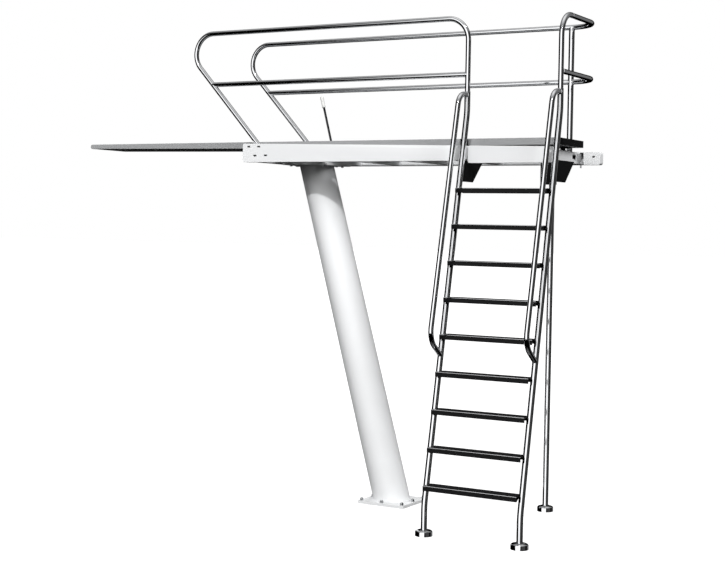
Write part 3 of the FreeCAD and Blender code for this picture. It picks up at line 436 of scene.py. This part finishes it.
class SPRINGBOARD_OT_flange_covers(bpy.types.Operator):
    """Spun covers over the three floor flanges, with rolled shoulders and lips."""
    bl_idname = "springboard.flange_covers"
    bl_label = "Flange covers"

    def execute(self, context):
        rim = context.scene.springboard_details.rim
        wall = 2 * MM
        for word in COVERS:
            low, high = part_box(f"flange_cover_{word}")
            outer = (high.x - low.x) / 2
            height = high.z - low.z
            shoulder = height * 0.78
            bore = STRINGER_RADIUS + 0.6 * MM
            collar = 7 * MM
            profile = [(outer, 0), (outer, shoulder), (bore + collar, height), (bore, height),
                       (bore, height - wall), (bore + collar - 1 * MM, height - wall - 0.5 * MM),
                       (outer - wall, shoulder - wall), (outer - wall, 0)]
            shape = bmesh.new()
            centre = Vector(((low.x + high.x) / 2, (low.y + high.y) / 2, low.z))
            spun_profile(shape, profile, Matrix.Translation(centre), steps=72,
                         round_radius=rim, round_points=(1, 6))
            make_piece(f"cover_shell_{word}", shape, f"cover_{word}", "polished_stainless",
                       replaced=(f"flange_cover_{word}",))
        return {"FINISHED"}


class SPRINGBOARD_OT_hand_grip(bpy.types.Operator):
    """Moulded grip with finger rings on the clamp lever."""
    bl_idname = "springboard.hand_grip"
    bl_label = "Hand grip"

    def execute(self, context):
        ring = context.scene.springboard_details.grip_ring
        low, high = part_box("lever_grip")
        radius = (high.y - low.y) / 2
        pivot = Vector(JOINTS["clamp_turn"]["pos_m"])
        middle = (low + high) / 2
        axis = (middle - pivot).normalized()
        length = (high.z - low.z - 2 * radius * abs(axis.x)) / axis.z
        count = int(length / ring)
        step = length / count
        core = 0.4 * MM
        points = [(radius * 0.75, -length / 2)]
        for number in range(count):
            foot = -length / 2 + number * step
            for part, swell in ((0.15, 0.88), (0.5, 0.98), (0.85, 0.88)):
                points.append((radius * swell, foot + part * step))
        points += [(radius * 0.7, length / 2), (core, length / 2), (core, -length / 2)]
        shape = bmesh.new()
        spun_profile(shape, points, turn_to(middle, axis), steps=40)
        make_piece("lever_hand_grip", shape, "clamp", "white_plastic", replaced=("lever_grip",))
        return {"FINISHED"}


class SPRINGBOARD_OT_column_details(bpy.types.Operator):
    """Weld fillet round the column's foot and caps over the anchor nuts."""
    bl_idname = "springboard.column_details"
    bl_label = "Column details"

    def execute(self, context):
        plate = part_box("base_plate")
        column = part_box("column")
        radius = (column[1].y - column[0].y) / 2
        fillet, lift = 6 * MM, 2 * MM
        shape = bmesh.new()
        bead(shape, (column[1].x - radius, 0, plate[1].z + lift), (0, 0, 1), radius, fillet)
        make_piece("column_foot_weld", shape, "frame", "white_powder_coat")
        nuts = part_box("anchor_nuts")
        middle = (nuts[0] + nuts[1]) / 2
        nut_radius, overlap = 17 * MM, 4 * MM
        reach = (nuts[1].x - nuts[0].x) / 2 - nut_radius
        outline = ((0.2, 0), (9.5, 0), (9.5, 5), (7.5, 9), (4, 11), (0.2, 11.5))
        points = [(radius * MM, height * MM) for radius, height in outline]
        caps = bmesh.new()
        for x in (-reach, 0, reach):
            for y in (-reach, 0, reach):
                if (x, y) != (0, 0):
                    place = Matrix.Translation((middle.x + x, middle.y + y, nuts[1].z - overlap))
                    spun_profile(caps, points, place, steps=20)
        make_piece("anchor_caps", caps, "frame", "zinc_steel")
        return {"FINISHED"}


class SPRINGBOARD_OT_stage(bpy.types.Operator):
    """Pale floor, soft key and fill lights, studio surroundings and the camera."""
    bl_idname = "springboard.stage"
    bl_label = "Stage"

    def execute(self, context):
        build_floor(context.scene.springboard_finishes)
        build_lights()
        build_surroundings()
        build_camera()
        return {"FINISHED"}


def build_floor(finishes):
    """A wide pale floor that glows enough to keep its shadows faint."""
    shape = bmesh.new()
    bmesh.ops.create_grid(shape, x_segments=1, y_segments=1, size=120)
    bmesh.ops.translate(shape, vec=(0, 0, -1 * MM), verts=shape.verts)
    mesh = bpy.data.meshes.new("floor")
    shape.to_mesh(mesh)
    shape.free()
    floor = bpy.data.objects.new("floor", mesh)
    bpy.context.scene.collection.objects.link(floor)
    material, tree, place = new_material("pale_floor")
    tint = add_node(tree, "ShaderNodeTexNoise", inputs={"Vector": place, "Scale": 0.3, "Detail": 3})
    shader = add_node(tree, "ShaderNodeBsdfPrincipled", inputs={
        "Base Color": shade(finishes.floor, 0.22), "Roughness": spread(tree, tint.outputs["Fac"], 0.8, 1.0),
        "Specular IOR Level": 0.0, "Emission Color": linear(finishes.floor), "Emission Strength": 1.07})
    finish_surface(tree, shader)
    mesh.materials.append(material)
    floor.visible_diffuse = False
    floor.visible_glossy = False


def build_lights():
    """A sharp key light and three broader fills. Only the key shows in reflections."""
    for name, towards, strength, width in (
            ("key_light", (0.35, -1.0, 0.88), 2.2, 1.5),
            ("soft_light", (-0.7, -1.0, 0.9), 1.3, 50.0),
            ("side_light", (1.0, -0.6, 0.6), 2.7, 30.0),
            ("back_light", (-0.2, 1.0, 0.9), 1.1, 12.0)):
        light = bpy.data.lights.new(name, "SUN")
        light.energy = strength
        light.angle = math.radians(width)
        lamp = bpy.data.objects.new(name, light)
        lamp.matrix_world = turn_to(Vector((0, 0, 6)), Vector(towards))
        lamp.visible_glossy = name == "key_light"
        bpy.context.scene.collection.objects.link(lamp)


def build_surroundings():
    """White to the eye, a dim fill for matt surfaces, and a studio of pale and dark walls for the tubes."""
    world = bpy.data.worlds.new("studio")
    bpy.context.scene.world = world
    world.use_nodes = True
    tree = world.node_tree
    tree.nodes.clear()
    direction = add_node(tree, "ShaderNodeTexCoord").outputs["Generated"]
    parts = add_node(tree, "ShaderNodeSeparateXYZ", inputs={"Vector": direction})
    height = from_signed(tree, parts.outputs["Z"])
    level = add_node(tree, "ShaderNodeCombineXYZ",
                     inputs={"X": parts.outputs["X"], "Y": parts.outputs["Y"]})
    compass = add_node(tree, "ShaderNodeVectorMath", {"operation": "NORMALIZE"}, {0: level.outputs["Vector"]})
    front = facing(tree, compass.outputs["Vector"], (0.03, -1.0, 0.0))
    side = facing(tree, compass.outputs["Vector"], (0.966, -0.259, 0.0))
    rear = facing(tree, compass.outputs["Vector"], (0.454, 0.891, 0.0))
    window = ramp(tree, front, ((0.0, 0.0), (0.915, 0.0), (0.945, 1.0), (1.0, 1.0)))
    wall = ramp(tree, side, ((0.0, 0.0), (0.93, 0.0), (0.96, 0.04), (1.0, 0.04)))
    far_wall = ramp(tree, rear, ((0.0, 0.0), (0.970, 0.0), (0.985, 0.12), (1.0, 0.12)))
    walls = add_node(tree, "ShaderNodeMath", {"operation": "MAXIMUM"}, {0: wall, 1: far_wall})
    around = add_node(tree, "ShaderNodeMath", {"operation": "MAXIMUM"},
                      {0: window, 1: walls.outputs["Value"]})
    band = ramp(tree, height, ((0.0, 0.0), (0.36, 0.0), (0.40, 1.0), (0.765, 1.0), (0.80, 0.0)))
    studio_band = add_node(tree, "ShaderNodeMath", {"operation": "MULTIPLY"},
                           {0: around.outputs["Value"], 1: band})
    brightness = 1.35
    bright_band = add_node(tree, "ShaderNodeMath", {"operation": "MULTIPLY"},
                           {0: studio_band.outputs["Value"], 1: brightness})
    ceiling = ramp(tree, height, ((0.0, 0.12), (0.10, 0.0), (0.76, 0.0), (0.82, 0.24), (0.90, 0.35),
                                  (1.0, 0.9)))
    studio = add_node(tree, "ShaderNodeMath", {"operation": "ADD"},
                      {0: bright_band.outputs["Value"], 1: ceiling})
    fill = ramp(tree, height, ((0.0, 0.02), (0.45, 0.05), (0.55, 0.26), (1.0, 0.42)))
    rays = add_node(tree, "ShaderNodeLightPath")
    lit = add_node(tree, "ShaderNodeMix", {"data_type": "FLOAT"},
                   {"Factor": rays.outputs["Is Glossy Ray"], "A": fill, "B": studio.outputs["Value"]})
    seen = add_node(tree, "ShaderNodeMix", {"data_type": "FLOAT"},
                    {"Factor": rays.outputs["Is Camera Ray"], "A": lit.outputs["Result"], "B": 1.0})
    glow = add_node(tree, "ShaderNodeBackground",
                    inputs={"Color": (1, 1, 1, 1), "Strength": seen.outputs["Result"]})
    add_node(tree, "ShaderNodeOutputWorld", inputs={"Surface": glow.outputs["Background"]})
    bpy.context.scene.view_settings.view_transform = "Standard"


def from_signed(tree, value):
    """Map a -1 to 1 value onto 0 to 1."""
    return add_node(tree, "ShaderNodeMapRange", inputs={"Value": value, "From Min": -1.0}).outputs["Result"]


def facing(tree, direction, towards):
    """How far a direction faces a compass point, 0 opposite to 1 straight at it."""
    product = add_node(tree, "ShaderNodeVectorMath", {"operation": "DOT_PRODUCT"}, {0: direction, 1: towards})
    return from_signed(tree, product.outputs["Value"])


def ramp(tree, factor, stops):
    """A grey ramp through (position, level) stops."""
    node = add_node(tree, "ShaderNodeValToRGB", inputs={"Fac": factor})
    marks = node.color_ramp.elements
    marks.remove(marks[1])
    marks[0].position = stops[0][0]
    for position, level in stops:
        mark = marks[0] if position == stops[0][0] else marks.new(position)
        mark.color = (level, level, level, 1)
    return node.outputs["Color"]


def build_camera():
    """A long lens from the ladder side, a little below the board and turned slightly about its axis."""
    azimuth, pitch, roll = (math.radians(angle) for angle in (30.096, 0.77, 1.09))
    ahead = Vector((-math.sin(azimuth) * math.cos(pitch), math.cos(azimuth) * math.cos(pitch),
                    -math.sin(pitch)))
    right = Vector((math.cos(azimuth), math.sin(azimuth), 0))
    up = right.cross(ahead)
    rolled_right = right * math.cos(roll) + up * math.sin(roll)
    rolled_up = up * math.cos(roll) - right * math.sin(roll)
    turn = Matrix((rolled_right, rolled_up, -ahead)).transposed().to_4x4()
    lens = bpy.data.cameras.new("camera")
    lens.sensor_width = 36
    lens.lens = 70.41
    lens.shift_y = -0.0572
    lens.clip_end = 500
    camera = bpy.data.objects.new("camera", lens)
    camera.matrix_world = Matrix.Translation((5.85, -10.694, 2.372)) @ turn
    bpy.context.scene.collection.objects.link(camera)
    bpy.context.scene.camera = camera


class SPRINGBOARD_PT_panel(bpy.types.Panel):
    """Lists the stand's operators."""
    bl_idname = "SPRINGBOARD_PT_panel"
    bl_label = "Springboard stand"
    bl_space_type = "VIEW_3D"
    bl_region_type = "UI"
    bl_category = "Springboard"

    def draw(self, context):
        for operator in OPERATORS:
            self.layout.operator(operator.bl_idname)


OPERATORS = (SPRINGBOARD_OT_finishes, SPRINGBOARD_OT_softened_plates, SPRINGBOARD_OT_weld_beads,
             SPRINGBOARD_OT_tread_mats, SPRINGBOARD_OT_flange_covers, SPRINGBOARD_OT_hand_grip,
             SPRINGBOARD_OT_column_details, SPRINGBOARD_OT_stage)
CLASSES = (FinishSettings, DetailSettings, *OPERATORS, SPRINGBOARD_PT_panel)


def register():
    for item in CLASSES:
        bpy.utils.register_class(item)
    bpy.types.Scene.springboard_finishes = bpy.props.PointerProperty(type=FinishSettings)
    bpy.types.Scene.springboard_details = bpy.props.PointerProperty(type=DetailSettings)


def unregister():
    del bpy.types.Scene.springboard_details
    del bpy.types.Scene.springboard_finishes
    for item in reversed(CLASSES):
        bpy.utils.unregister_class(item)


def main():
    """Build everything in order."""
    register()
    for operator in OPERATORS:
        group, name = operator.bl_idname.split(".")
        getattr(getattr(bpy.ops, group), name)()


if __name__ == "__main__":
    main()
